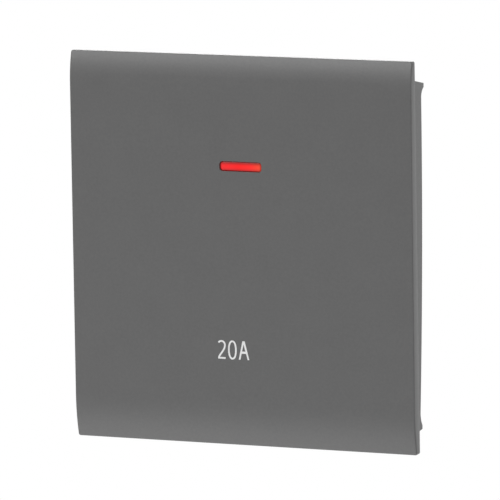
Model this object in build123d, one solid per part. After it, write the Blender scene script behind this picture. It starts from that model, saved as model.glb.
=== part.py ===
from build123d import *
import math
import os

# A double-pole rocker switch for a water heater, on a one-gang wall box.
# Millimetres. The wall's surface is Y = 0: +Y goes into the wall, +X is the viewer's right, +Z is up.
# The rocker is drawn level first and then turned to the pose in which its lower end is pressed in.

# Rocker cover
cover_width = 86.0
cover_height = 92.0
projection = 9.5
panel_thickness = 1.5
rim_top_depth = 2.55
rim_bottom_depth = 3.3
side_wall = 0.95
corner_radius = 0.5
front_edge_radius = 0.3
top_roll_length = 7.3
top_roll_radius = 23.8
bottom_roll_length = 10.3
bottom_roll_radius = 38.5
pocket_end_gap = 0.35
skirt_depth = 5.3
skirt_wall = 1.0
skirt_end_gap = 0.5

# Indicator window in the cover
window_width = 10.6
window_height = 2.35
window_corner = 0.9
window_x = 0.15
lens_gap = 0.1
lens_recess = 0.25
lens_flange = 0.9
lens_flange_thickness = 0.8

# Motion
rocker_angle = 2.2
rocker_pivot_depth = 4.3
actuator_angle = 11.0
contact_angle = 6.6
link_length = 12.5
link_radius = 2.5

# Surround frame
frame_side_gap = 0.2
frame_wall = 1.2
frame_top_inset = 5.9
frame_bottom_inset = 5.27
frame_slope = 0.163
frame_front_gap = 0.15
frame_skirt_gap = 0.3
frame_foot = 0.9
frame_foot_hollow = 0.3
top_foot_rise = 1.55
top_foot_run = 2.0
bottom_foot_rise = 1.28
bottom_foot_run = 2.9
frame_crown_depth = 0.57
web_thickness = 1.2
web_opening_gap = 0.5
web_access_radius = 4.5
snap_edge_x = 5.0
snap_edge_z = 7.0
snap_radius = 1.5
snap_gap = 0.05
snap_barb = 0.35
snap_barb_length = 1.2

# Mounting yoke
yoke_border_x = 12.0
yoke_border_z = 8.0
yoke_thickness = 1.2
yoke_corner = 3.0
yoke_lap_x = 5.5
yoke_lap_z = 1.8
fixing_inset = 5.85
fixing_hole_radius = 2.0
fixing_slot_length = 6.0

# Mechanism front plate
front_step = 1.0
front_thickness = 2.0
fork_side_gap = 1.0
fork_swing_gap = 1.75
ear_thickness = 3.0
ear_inset = 0.5
ear_radius = 2.2
hanger_thickness = 2.4
hanger_height = 8.0
hanger_overlap = 1.2
stop_x = 12.0
stop_inset = 0.9
stop_radius = 1.6
stop_gap = 0.04

# Mechanism housing
housing_width = 48.0
housing_height = 52.0
housing_wall = 1.8
housing_corner = 1.5
barrier_gap = 0.2
barrier_thickness = 1.0
barrier_rise = 7.8
pad_width = 5.0
pad_length = 3.2
pad_height = 1.6

# Screws that join front plate, yoke and housing
screw_inset = 1.6
screw_end_inset = 7.2
screw_radius = 1.2
screw_hole_gap = 0.15
screw_thread_gap = 0.05
screw_length = 11.0
screw_head_radius = 2.3
screw_head_height = 1.5
screw_slot_width = 0.6
screw_slot_depth = 0.7
boss_radius = 2.4
boss_length = 10.0
boss_floor = 1.0

# Rocker carrier
carrier_side_reach = 6.0
carrier_height = 30.0
carrier_thickness = 1.2
cheek_thickness = 1.7
cheek_front_gap = 0.15
cheek_gap = 0.3
trunnion_radius = 1.25
pivot_gap = 0.05
ear_window_gap = 0.3
ear_window_height = 6.4
fork_width = 6.0
fork_prong = 1.4
fork_reach = 1.9
fork_slot_back = 0.6
peg_edge_x = 3.5
peg_edge_z = 4.0
peg_radius = 1.2
peg_gap = 0.05
peg_head_radius = 1.9
peg_head_height = 0.8

# Contact actuator
drive_pin_radius = 1.2
drive_pin_gap = 0.05
drive_cheek_gap = 1.2
drive_cheek_thickness = 1.6
drive_cheek_radius = 2.4
crossbar_start = 0.6
crossbar_depth = 3.0
crossbar_height = 5.0
tower_radius = 3.0
tower_front = 2.5
tower_rear = 5.0
end_plate_thickness = 1.6
end_plate_gap = 0.2
bore_wall = 0.15
actuator_trunnion_radius = 2.0

# Sprung plungers
pole_inset = 13.0
plunger_radius = 1.6
plunger_gap = 0.05
plunger_length = 5.28
contact_clearance = 0.02
plunger_reach = 7.5
spring_radius = 1.2
spring_wire_radius = 0.2
spring_turns = 4
spring_seat = 1.5
spring_end_gap = 0.05

# Moving contacts
contact_width = 5.0
contact_thickness = 1.0
contact_terminal_gap = 1.8
contact_end = 1.8
contact_tail = 6.0
bead_radius = 0.9
bead_gap = 0.05
tip_radius = 1.6
tip_height = 1.0
tip_dome_radius = 4.0
tip_shank_radius = 0.8
tip_shank_gap = 0.02

# Fixed contacts
fixed_tip_height = 0.8
fixed_tip_radius = 1.8
strip_thickness = 1.0
strip_width = 7.0
cradle_half_height = 1.6
cradle_drop = 0.3
strip_end_gap = 0.2
strip_tip_margin = 0.3

# Terminals
terminal_width = 7.6
terminal_length = 7.5
terminal_front_wall = 0.9
terminal_thread = 3.3
terminal_end_gap = 0.1
wire_hole_radius = 2.1
terminal_screw_radius = 1.75
terminal_screw_gap = 0.1
strip_screw_gap = 0.2
terminal_screw_tip_gap = 0.2
terminal_head_radius = 2.7
terminal_head_height = 1.9
terminal_head_recess = 0.5
terminal_slot_width = 0.8
terminal_slot_depth = 0.9
terminal_access_radius = 3.0
wire_window = 5.6

# Earth terminal on the yoke
earth_inset = 10.0
earth_gap = 0.8
earth_width = 7.0
earth_height = 6.6
earth_thread = 3.3
earth_wire_radius = 1.8
earth_floor = 1.1
earth_spigot_radius = 1.5
earth_spigot_gap = 0.05
earth_screw_length = 4.2

# Indicator lamp
lamp_inset = 5.9
board_width = 14.0
board_below = 5.2
board_above = 2.6
board_thickness = 1.0
led_radius = 1.5
led_hole_gap = 0.2
led_length = 4.2
guide_width = 10.0
guide_height = 4.4
guide_depth = 2.7
guide_pocket_gap = 0.15
resistor_radius = 1.2
resistor_length = 6.0
resistor_drop = 0.6
diode_radius = 0.9
diode_length = 4.0
diode_drop = 3.6
component_lift = 0.05
component_lead_radius = 0.3
component_lead_reach = 1.0
wire_radius = 0.5
wire_bend = 1.5
wire_edge = 1.1
wire_board_rise = 0.8
wire_lift = 3.2
wire_side_gap = 2.1
wire_boss_gap = 4.1
wire_tip_gap = 3.5

# Planes and lines that follow from the sizes above
tilt = math.tan(math.radians(rocker_angle))
face_y = -projection
pivot_y = face_y + rocker_pivot_depth
panel_back_y = face_y + panel_thickness
carrier_back_y = panel_back_y + carrier_thickness
yoke_front_y = -yoke_thickness
front_plate_y = yoke_front_y - front_thickness
web_front_y = yoke_front_y - web_thickness
frame_half_width = cover_width / 2 - side_wall - frame_side_gap
skirt_half_width = frame_half_width - frame_wall - frame_skirt_gap
yoke_width = housing_width + 2 * yoke_border_x
yoke_height = housing_height + 2 * yoke_border_z
fixing_x = yoke_width / 2 - fixing_inset
snap_x = yoke_width / 2 - snap_edge_x
snap_z = yoke_height / 2 - snap_edge_z
front_width = housing_width
front_height = housing_height - 2 * front_step
bay_width = housing_width - 2 * housing_wall
bay_height = housing_height - 2 * housing_wall
pole_x = housing_width / 2 - pole_inset
screw_x = bay_width / 2 - screw_inset
screw_z = bay_height / 2 - screw_end_inset
terminal_z = bay_height / 2 - terminal_end_gap - terminal_length / 2
contact_end_z = terminal_z - terminal_length / 2 - contact_terminal_gap
contact_arm = contact_end_z - contact_end
drive_pin_y = pivot_y + link_length
actuator_y = drive_pin_y + link_radius
contact_front_y = actuator_y + plunger_reach
contact_pivot_y = contact_front_y + contact_thickness
contact_sine = math.sin(math.radians(contact_angle))
contact_cosine = math.cos(math.radians(contact_angle))
dome_centre_y = contact_pivot_y + (tip_height - tip_dome_radius) * contact_cosine + contact_arm * contact_sine
fixed_tip_y = dome_centre_y + tip_dome_radius + contact_clearance
fixed_tip_z = -(contact_arm * contact_cosine)
strip_front_y = fixed_tip_y + fixed_tip_height
strip_back_y = strip_front_y + strip_thickness
strip_end = bay_height / 2 - strip_end_gap
load_strip_start = -fixed_tip_z - fixed_tip_radius - strip_tip_margin
housing_floor_y = strip_back_y + pad_height
housing_depth = housing_floor_y + housing_wall
wire_hole_y = strip_front_y - terminal_thread - wire_hole_radius
terminal_front = wire_hole_y - wire_hole_radius - terminal_front_wall
carrier_width = front_width + 2 * carrier_side_reach
stop_z = carrier_height / 2 - stop_radius - stop_inset
peg_x = carrier_width / 2 - peg_edge_x
peg_z = carrier_height / 2 - peg_edge_z
cheek_radius = front_plate_y - pivot_y - cheek_front_gap
fork_slot_half = drive_pin_radius + drive_pin_gap
fork_half = fork_slot_half + fork_prong
earth_x = earth_inset - housing_width / 2
earth_z = housing_height / 2 + earth_gap + earth_height / 2
earth_wire_y = earth_floor + earth_wire_radius
earth_depth = earth_wire_y + earth_wire_radius + earth_thread
lamp_z = housing_height / 2 - lamp_inset
board_low = lamp_z - board_below
board_back_y = yoke_front_y + board_thickness


def block(x_span, y_span, z_span):
    """A box between two places on each axis."""
    spans = (x_span, y_span, z_span)
    middle = [(low + high) / 2 for low, high in spans]
    size = [high - low for low, high in spans]
    return Pos(*middle) * Box(*size)


def slab(outline, front, back):
    """An outline drawn in X and Z, as a solid between two places in Y."""
    return extrude(Plane.XZ.offset(-back) * outline, amount=back - front)


def side_slab(outline, left, right):
    """An outline drawn in Y and Z, as a solid between two places in X."""
    return extrude(Plane.YZ.offset(left) * outline, amount=right - left)


def rod_x(radius, left, right, y, z):
    """A round bar along X."""
    return Pos((left + right) / 2, y, z) * Rot(0, 90, 0) * Cylinder(radius, right - left)


def rod_y(radius, front, back, x, z):
    """A round bar along Y."""
    return Pos(x, (front + back) / 2, z) * Rot(90, 0, 0) * Cylinder(radius, back - front)


def rod_z(radius, low, high, x, y):
    """A round bar along Z."""
    return Pos(x, y, (low + high) / 2) * Cylinder(radius, high - low)


def turned(shape, angle, y):
    """A shape turned about the line along X at depth y and height 0."""
    return Pos(0, y, 0) * Rot(angle, 0, 0) * Pos(0, -y, 0) * shape


def rocker_pose(shape):
    """A rocker piece with its lower end pressed in."""
    return turned(shape, rocker_angle, pivot_y)


def actuator_pose(shape):
    """An actuator piece, which swings the other way from the rocker."""
    return turned(shape, -actuator_angle, actuator_y)


def contact_pose(shape):
    """A moving contact with its lower end on the fixed contact."""
    return turned(shape, contact_angle, contact_pivot_y)


def frame_reach(side, y):
    """How far the frame's top, side 1, or bottom, side -1, lies from the middle: both lean in towards the wall."""
    inset = frame_top_inset if side == 1 else frame_bottom_inset
    return cover_height / 2 - inset - y * frame_slope


def frame_front_reach(side):
    """The same at the frame's front corner."""
    return frame_reach(side, frame_edge_y(frame_reach(side, 0)))


def frame_edge_y(z):
    """The frame's front edge clears the underside of the rocker in both positions."""
    return panel_back_y + frame_front_gap + abs(z) * tilt


def roll_drop(radius, run):
    """How far an end of the cover's face falls back over its rolled length."""
    return radius - math.sqrt(radius**2 - run**2)


def roll_arc(side, run, radius):
    """The rolled end of the cover's face, tangent to the flat. Side is 1 at the top and -1 at the bottom."""
    end_z = side * cover_height / 2
    start_z = end_z - side * run
    half = math.asin(run / radius) / 2
    middle_y = face_y + radius * (1 - math.cos(half))
    middle_z = start_z + side * radius * math.sin(half)
    end_y = face_y + roll_drop(radius, run)
    return ThreePointArc((face_y, start_z), (middle_y, middle_z), (end_y, end_z))


def cover_body():
    """The cover's outer form: a flat face with both ends rolled back."""
    half = cover_height / 2
    top = roll_arc(1, top_roll_length, top_roll_radius)
    bottom = roll_arc(-1, bottom_roll_length, bottom_roll_radius)
    flat = Line(bottom @ 0, top @ 0)
    back = Polyline(top @ 1, (face_y + rim_top_depth, half), (face_y + rim_bottom_depth, -half), bottom @ 1)
    outline = make_face(Curve() + [flat, top, back, bottom])
    body = side_slab(outline, -cover_width / 2, cover_width / 2)
    corners = body.edges().filter_by(Axis.Y)
    body = fillet(corners, corner_radius)
    front = body.faces().sort_by(Axis.Y)[0]
    long_edges = front.edges().filter_by(Axis.Z)
    return fillet(long_edges, front_edge_radius)


def skirt():
    """The inner wall that keeps the gap round the frame closed as the rocker tilts."""
    high = frame_reach(1, web_front_y) - frame_wall - skirt_end_gap
    low = frame_reach(-1, web_front_y) - frame_wall - skirt_end_gap
    span = (panel_back_y, face_y + skirt_depth)
    outer = block((-skirt_half_width, skirt_half_width), span, (-low, high))
    inner_width = skirt_half_width - skirt_wall
    return outer - block((-inner_width, inner_width), span, (skirt_wall - low, high - skirt_wall))


def staked_pegs():
    """Pegs on the cover's back, passed through the carrier and headed over."""
    pegs = []
    for x in (-peg_x, peg_x):
        for z in (-peg_z, peg_z):
            pegs.append(rod_y(peg_radius, panel_back_y, carrier_back_y, x, z))
            pegs.append(rod_y(peg_head_radius, carrier_back_y, carrier_back_y + peg_head_height, x, z))
    return pegs


def rocker_cover():
    pocket_width = cover_width / 2 - side_wall
    pocket_z = (-frame_front_reach(-1) - pocket_end_gap, frame_front_reach(1) + pocket_end_gap)
    pocket_y = (panel_back_y, face_y + max(rim_top_depth, rim_bottom_depth))
    pocket = block((-pocket_width, pocket_width), pocket_y, pocket_z)
    window = Pos(window_x, lamp_z) * RectangleRounded(window_width, window_height, window_corner)
    cover = cover_body() - pocket + skirt() - slab(window, face_y, panel_back_y)
    for peg in staked_pegs():
        cover += peg
    return rocker_pose(cover)


def indicator_lens():
    """A red bar that fills the window from behind, with a flange against the panel's back."""
    bar_size = (window_width - 2 * lens_gap, window_height - 2 * lens_gap)
    bar = Pos(window_x, lamp_z) * RectangleRounded(*bar_size, window_corner - lens_gap)
    flange_size = (window_width + 2 * lens_flange, window_height + 2 * lens_flange)
    flange = Pos(window_x, lamp_z) * RectangleRounded(*flange_size, window_corner)
    lens = slab(bar, face_y + lens_recess, panel_back_y)
    lens += slab(flange, panel_back_y, panel_back_y + lens_flange_thickness)
    return rocker_pose(lens)


def ear_centre():
    """The middle of a bearing ear in X, just inside the front plate's side."""
    return front_width / 2 - ear_thickness / 2 - ear_inset


def rocker_carrier():
    """The plate behind the cover, with its pivots and the fork that drives the mechanism."""
    carrier = block(
        (-carrier_width / 2, carrier_width / 2),
        (panel_back_y, carrier_back_y),
        (-carrier_height / 2, carrier_height / 2),
    )
    ear_x = ear_centre()
    cheek_right = ear_x - ear_thickness / 2 - cheek_gap
    cheek_left = cheek_right - cheek_thickness
    for side in (-1, 1):
        window_half = ear_thickness / 2 + ear_window_gap
        window = block(
            (side * ear_x - window_half, side * ear_x + window_half),
            (panel_back_y, carrier_back_y),
            (-ear_window_height / 2, ear_window_height / 2),
        )
        left, right = sorted((side * cheek_left, side * cheek_right))
        cheek = block((left, right), (panel_back_y, pivot_y), (-cheek_radius, cheek_radius))
        cheek += rod_x(cheek_radius, left, right, pivot_y, 0)
        near, far = sorted((side * cheek_left, side * (ear_x + ear_thickness / 2)))
        carrier = carrier - window + cheek + rod_x(trunnion_radius, near, far, pivot_y, 0)
        for z in (-peg_z, peg_z):
            carrier -= rod_y(peg_radius + peg_gap, panel_back_y, carrier_back_y, side * peg_x, z)
    tip_y = drive_pin_y + fork_reach
    slot_y = drive_pin_y - drive_pin_radius - fork_slot_back
    carrier += block((-fork_width / 2, fork_width / 2), (panel_back_y, tip_y), (-fork_half, fork_half))
    carrier -= block((-fork_width / 2, fork_width / 2), (slot_y, tip_y), (-fork_slot_half, fork_slot_half))
    return rocker_pose(carrier)


def frame_side_outline():
    """The frame seen from the side: a low ridge in front, a foot at each corner, a crown between."""
    high = frame_reach(1, 0)
    low = -frame_reach(-1, 0)
    front_high = frame_front_reach(1)
    front_low = -frame_front_reach(-1)
    top_relief = (-top_foot_rise, high - frame_foot - top_foot_run)
    bottom_relief = (-bottom_foot_rise, low + frame_foot + bottom_foot_run)
    top_foot = SagittaArc((0, high - frame_foot), top_relief, -frame_foot_hollow)
    bottom_foot = SagittaArc((0, low + frame_foot), bottom_relief, frame_foot_hollow)
    crown = ThreePointArc(top_relief, (-frame_crown_depth, 0), bottom_relief)
    front = Polyline(
        (0, high - frame_foot),
        (0, high),
        (frame_edge_y(front_high), front_high),
        (frame_edge_y(0), 0),
        (frame_edge_y(front_low), front_low),
        (0, low),
        (0, low + frame_foot),
    )
    return make_face(Curve() + [front, top_foot, crown, bottom_foot])


def frame_hollow(front, back):
    """The space inside the frame's walls between two depths, following their lean."""
    corners = []
    for y, side in ((front, -1), (front, 1), (back, 1), (back, -1)):
        corners.append((y, side * (frame_reach(side, y) - frame_wall)))
    outline = make_face(Polyline(*corners, close=True))
    half_width = frame_half_width - frame_wall
    return side_slab(outline, -half_width, half_width)


def snap_places():
    return [(x, z) for x in (-snap_x, snap_x) for z in (-snap_z, snap_z)]


def frame_web():
    """The flat web inside the frame's walls, which lies on the yoke and clears the front plate."""
    span = (web_front_y, yoke_front_y)
    opening_width = front_width / 2 + web_opening_gap
    opening_height = front_height / 2 + web_opening_gap
    web = frame_hollow(*span)
    web -= block((-opening_width, opening_width), span, (-opening_height, opening_height))
    for side in (-1, 1):
        web -= rod_y(web_access_radius, *span, side * fixing_x, 0)
    return web


def surround_frame():
    frame = side_slab(frame_side_outline(), -frame_half_width, frame_half_width)
    frame -= frame_hollow(face_y, 0)
    frame += frame_web()
    for x, z in snap_places():
        frame += rod_y(snap_radius, yoke_front_y, 0, x, z)
        barb = Cone(snap_radius + snap_barb, snap_radius - snap_barb, snap_barb_length)
        frame += Pos(x, snap_barb_length / 2, z) * Rot(-90, 0, 0) * barb
    return frame


def screw_places():
    return [(x, z) for x in (-screw_x, screw_x) for z in (-screw_z, screw_z)]


def mounting_yoke():
    """The steel plate that is screwed to the wall box."""
    outline = RectangleRounded(yoke_width, yoke_height, yoke_corner)
    outline -= Rectangle(front_width - 2 * yoke_lap_x, front_height - 2 * yoke_lap_z)
    for side in (-1, 1):
        slot = SlotOverall(fixing_slot_length, 2 * fixing_hole_radius)
        outline -= Pos(side * fixing_x, 0) * slot
    for x, z in snap_places():
        outline -= Pos(x, z) * Circle(snap_radius + snap_gap)
    for x, z in screw_places():
        outline -= Pos(x, z) * Circle(screw_radius + screw_hole_gap)
    outline -= Pos(earth_x, earth_z) * Circle(earth_spigot_radius + earth_spigot_gap)
    return slab(outline, yoke_front_y, 0)


def bearing_ear(x):
    """An upright of the front plate with the bore that a rocker pivot turns in."""
    left = x - ear_thickness / 2
    right = x + ear_thickness / 2
    ear = block((left, right), (pivot_y, front_plate_y), (-ear_radius, ear_radius))
    ear += rod_x(ear_radius, left, right, pivot_y, 0)
    return ear - rod_x(trunnion_radius + pivot_gap, left, right, pivot_y, 0)


def hanger(side):
    """A bearing for the actuator, open to the rear, where the plunger springs hold it home."""
    left, right = sorted((side * hanger_inner(), side * (hanger_inner() + hanger_thickness)))
    back = actuator_y + hanger_overlap
    radius = actuator_trunnion_radius + pivot_gap
    arm = block((left, right), (yoke_front_y, back), (-hanger_height / 2, hanger_height / 2))
    arm -= rod_x(radius, left, right, actuator_y, 0)
    return arm - block((left, right), (actuator_y, back), (-radius, radius))


def hanger_inner():
    """The inner side of a hanger in X, beside the actuator's end plate."""
    return end_plate_inner() + end_plate_thickness + end_plate_gap


def end_plate_inner():
    """Where an actuator end plate starts in X, just outside the plunger bore."""
    return pole_x + plunger_radius + plunger_gap + bore_wall


def mechanism_front():
    """The plate in front of the yoke, with the pivots' bearings and the rocker's stops."""
    plate = block(
        (-front_width / 2, front_width / 2),
        (front_plate_y, yoke_front_y),
        (-front_height / 2, front_height / 2),
    )
    span = (front_plate_y, yoke_front_y)
    fork_x = fork_width / 2 + fork_side_gap
    fork_z = fork_half + fork_swing_gap
    plate -= block((-fork_x, fork_x), span, (-fork_z, fork_z))
    plate -= rod_y(led_radius + led_hole_gap, *span, window_x, lamp_z)
    for x, z in screw_places():
        plate -= rod_y(screw_radius + screw_hole_gap, *span, x, z)
    stop_y = carrier_back_y + (stop_z + stop_radius) * tilt + stop_gap
    for side in (-1, 1):
        plate += bearing_ear(side * ear_centre())
        plate += hanger(side)
        for z in (-stop_z, stop_z):
            plate += rod_y(stop_radius, stop_y, front_plate_y, side * stop_x, z)
    return plate


def terminal_places():
    return [(x, z) for x in (-pole_x, pole_x) for z in (-terminal_z, terminal_z)]


def mechanism_housing():
    """The tub behind the yoke, open in front, with a bay for each pole."""
    outer = RectangleRounded(housing_width, housing_height, housing_corner)
    tub = slab(outer, 0, housing_depth) - slab(Rectangle(bay_width, bay_height), 0, housing_floor_y)
    for x, z in screw_places():
        tub += rod_y(boss_radius, 0, boss_length, x, z)
        tub -= rod_y(screw_radius + screw_thread_gap, 0, boss_length - boss_floor, x, z)
    for side in (-1, 1):
        barrier_outer = pole_x - terminal_width / 2 - barrier_gap
        left, right = sorted((side * barrier_outer, side * (barrier_outer - barrier_thickness)))
        wall_y = (housing_floor_y - barrier_rise, housing_floor_y)
        tub += block((left, right), wall_y, (-bay_height / 2, bay_height / 2))
        pad_x = (side * pole_x - pad_width / 2, side * pole_x + pad_width / 2)
        for z in (0, -fixed_tip_z, fixed_tip_z):
            pad_z = (z - pad_length / 2, z + pad_length / 2)
            tub += block(pad_x, (strip_back_y, housing_floor_y), pad_z)
        window_x_span = (side * pole_x - wire_window / 2, side * pole_x + wire_window / 2)
        window_y_span = (wire_hole_y - wire_window / 2, wire_hole_y + wire_window / 2)
        tub -= block(window_x_span, window_y_span, (-housing_height, housing_height))
    for x, z in terminal_places():
        tub -= rod_y(terminal_access_radius, housing_floor_y, housing_depth, x, z)
    return tub


def slotted_screw(place, tip_y, seat_y, radius, head, side):
    """A screw along Y. Its head lies behind the seat when side is 1 and in front of it when side is -1."""
    x, z = place
    head_radius, head_height, slot_width, slot_depth = head
    head_y = seat_y + side * head_height
    slot_y = head_y - side * slot_depth
    screw = rod_y(radius, *sorted((tip_y, seat_y)), x, z)
    screw += rod_y(head_radius, *sorted((seat_y, head_y)), x, z)
    slot_span = tuple(sorted((slot_y, head_y)))
    slot_x = (x - slot_width / 2, x + slot_width / 2)
    return screw - block(slot_x, slot_span, (z - head_radius, z + head_radius))


def housing_screws():
    seat_y = front_plate_y
    tip_y = seat_y + screw_length
    head = (screw_head_radius, screw_head_height, screw_slot_width, screw_slot_depth)
    return [slotted_screw(place, tip_y, seat_y, screw_radius, head, -1) for place in screw_places()]


def terminal_screws():
    tip_y = wire_hole_y + wire_hole_radius + terminal_screw_tip_gap
    seat_y = housing_depth - terminal_head_recess - terminal_head_height
    head = (terminal_head_radius, terminal_head_height, terminal_slot_width, terminal_slot_depth)
    return [slotted_screw(place, tip_y, seat_y, terminal_screw_radius, head, 1) for place in terminal_places()]


def terminal(side_x, side_z):
    """A brass block with a hole for the wire along Z and a threaded hole for its screw along Y."""
    x = side_x * pole_x
    z = side_z * terminal_z
    low, high = z - terminal_length / 2, z + terminal_length / 2
    body = block(
        (x - terminal_width / 2, x + terminal_width / 2),
        (terminal_front, strip_front_y),
        (low, high),
    )
    body -= rod_z(wire_hole_radius, low, high, x, wire_hole_y)
    return body - rod_y(terminal_screw_radius + terminal_screw_gap, wire_hole_y, strip_front_y, x, z)


def strip(side_x, low, high):
    """A brass strip on the housing's floor, with a hole round the terminal screw."""
    x = side_x * pole_x
    bar = block((x - strip_width / 2, x + strip_width / 2), (strip_front_y, strip_back_y), (low, high))
    hole_z = math.copysign(terminal_z, low + high)
    radius = terminal_screw_radius + strip_screw_gap
    return bar - rod_y(radius, strip_front_y, strip_back_y, x, hole_z)


def supply_contact(side_x):
    """The incoming strip, with the cradle that the moving contact rocks in."""
    x = side_x * pole_x
    span = (x - contact_width / 2, x + contact_width / 2)
    cradle_z = (-cradle_half_height, cradle_half_height)
    post = block(span, (contact_pivot_y + cradle_drop, strip_front_y), cradle_z)
    post -= rod_x(bead_radius + bead_gap, *span, contact_pivot_y, 0)
    return strip(side_x, -cradle_half_height, strip_end) + post


def load_contact(side_x):
    return strip(side_x, -strip_end, -load_strip_start)


def load_contact_tips():
    tips = []
    for x in (-pole_x, pole_x):
        tips.append(rod_y(fixed_tip_radius, fixed_tip_y, strip_front_y, x, fixed_tip_z))
    return tips


def moving_contact(side_x):
    """A see-saw strip with the bead that it rocks on."""
    x = side_x * pole_x
    span = (x - contact_width / 2, x + contact_width / 2)
    bar = block(span, (contact_front_y, contact_pivot_y), (-contact_end_z, contact_tail))
    bar += rod_x(bead_radius, *span, contact_pivot_y, 0)
    bar -= rod_y(tip_shank_radius + tip_shank_gap, contact_front_y, contact_pivot_y, x, -contact_arm)
    return contact_pose(bar)


def moving_tip(side_x):
    """A domed silver rivet on the moving contact."""
    x = side_x * pole_x
    back_y = contact_pivot_y + tip_height
    rivet = rod_y(tip_radius, contact_pivot_y, back_y, x, -contact_arm)
    rivet &= Pos(x, back_y - tip_dome_radius, -contact_arm) * Sphere(tip_dome_radius)
    rivet += rod_y(tip_shank_radius, contact_front_y, contact_pivot_y, x, -contact_arm)
    return contact_pose(rivet)


def contact_actuator():
    """The inner rocker: a bridge with a pair of plunger towers, end pivots and cheeks for the drive pin."""
    end_inner = end_plate_inner()
    end_outer = end_inner + end_plate_thickness
    bar_y = (actuator_y + crossbar_start, actuator_y + crossbar_start + crossbar_depth)
    bar_z = (-crossbar_height / 2, crossbar_height / 2)
    body = block((-end_outer, end_outer), bar_y, bar_z)
    cheek_inner = fork_width / 2 + drive_cheek_gap
    for side in (-1, 1):
        cheek_x = sorted((side * cheek_inner, side * (cheek_inner + drive_cheek_thickness)))
        cheek_z = (-drive_cheek_radius, drive_cheek_radius)
        body += block(tuple(cheek_x), (drive_pin_y, bar_y[1]), cheek_z)
        body += rod_x(drive_cheek_radius, *cheek_x, drive_pin_y, 0)
        end_x = tuple(sorted((side * end_inner, side * end_outer)))
        body += block(end_x, (actuator_y - tower_front, bar_y[1]), bar_z)
        tower_y = (actuator_y - tower_front, actuator_y + tower_rear)
        body += rod_y(tower_radius, *tower_y, side * pole_x, 0)
        pivot_x = sorted((side * end_outer, side * (hanger_inner() + hanger_thickness)))
        body += rod_x(actuator_trunnion_radius, *pivot_x, actuator_y, 0)
        bore_y = (actuator_y - spring_seat, actuator_y + tower_rear)
        body -= rod_y(plunger_radius + plunger_gap, *bore_y, side * pole_x, 0)
        body -= rod_x(drive_pin_radius, *cheek_x, drive_pin_y, 0)
    return actuator_pose(body)


def drive_pin():
    half = fork_width / 2 + drive_cheek_gap + drive_cheek_thickness
    return actuator_pose(rod_x(drive_pin_radius, -half, half, drive_pin_y, 0))


def plunger_tip_y():
    """The plunger's nose just clears the moving contact when the switch is halfway."""
    return contact_front_y - contact_clearance


def plunger(side_x):
    x = side_x * pole_x
    tip_y = plunger_tip_y()
    body = rod_y(plunger_radius, tip_y - plunger_length, tip_y - plunger_radius, x, 0)
    body += Pos(x, tip_y - plunger_radius, 0) * Sphere(plunger_radius)
    return actuator_pose(body)


def plunger_spring(side_x):
    """A coil spring between the bottom of the bore and the plunger."""
    start_y = actuator_y - spring_seat + spring_end_gap + spring_wire_radius
    end_y = plunger_tip_y() - plunger_length - spring_end_gap - spring_wire_radius
    height = end_y - start_y
    path = Helix(pitch=height / spring_turns, height=height, radius=spring_radius)
    section = Plane(origin=path @ 0, z_dir=path % 0) * Circle(spring_wire_radius)
    coil = sweep(section, path=path, is_frenet=True)
    return actuator_pose(Pos(side_x * pole_x, start_y, 0) * Rot(-90, 0, 0) * coil)


def earth_block_span():
    return (earth_x - earth_width / 2, earth_x + earth_width / 2)


def earth_terminal():
    """The brass earth block on the back of the yoke, held by its riveted spigot."""
    span = earth_block_span()
    body = block(span, (0, earth_depth), (earth_z - earth_height / 2, earth_z + earth_height / 2))
    body -= rod_x(earth_wire_radius, *span, earth_wire_y, earth_z)
    body -= rod_y(terminal_screw_radius + terminal_screw_gap, earth_wire_y, earth_depth, earth_x, earth_z)
    return body + rod_y(earth_spigot_radius, yoke_front_y, 0, earth_x, earth_z)


def earth_screw():
    tip_y = earth_wire_y + earth_wire_radius + terminal_screw_tip_gap
    seat_y = tip_y + earth_screw_length
    head = (terminal_head_radius, terminal_head_height, terminal_slot_width, terminal_slot_depth)
    return slotted_screw((earth_x, earth_z), tip_y, seat_y, terminal_screw_radius, head, 1)


def indicator_board():
    x_span = (window_x - board_width / 2, window_x + board_width / 2)
    return block(x_span, (yoke_front_y, board_back_y), (board_low, lamp_z + board_above))


def indicator_led():
    """A round lamp with a domed end, standing on the board and pointing at the window."""
    end_y = yoke_front_y - led_length
    body = rod_y(led_radius, end_y + led_radius, yoke_front_y, window_x, lamp_z)
    return body + Pos(window_x, end_y + led_radius, lamp_z) * Sphere(led_radius)


def light_guide():
    """A clear block over the lamp that spreads its light to the width of the window."""
    x_span = (window_x - guide_width / 2, window_x + guide_width / 2)
    z_span = (lamp_z - guide_height / 2, lamp_z + guide_height / 2)
    guide = block(x_span, (front_plate_y - guide_depth, front_plate_y), z_span)
    pocket_end = yoke_front_y - led_length - guide_pocket_gap
    return guide - rod_y(led_radius + led_hole_gap, pocket_end, front_plate_y, window_x, lamp_z)


def axial_component(radius, length, drop):
    """A round component on the board's back, below the lamp, with a bent lead at each end."""
    z = lamp_z - drop
    y = board_back_y + component_lift + radius
    body = rod_x(radius, window_x - length / 2, window_x + length / 2, y, z)
    for side in (-1, 1):
        end = window_x + side * length / 2
        far = end + side * component_lead_reach
        body += rod_x(component_lead_radius, *sorted((end, far)), y, z)
        body += rod_y(component_lead_radius, board_back_y, y, far, z)
        body += Pos(far, y, z) * Sphere(component_lead_radius)
    return body


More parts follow.
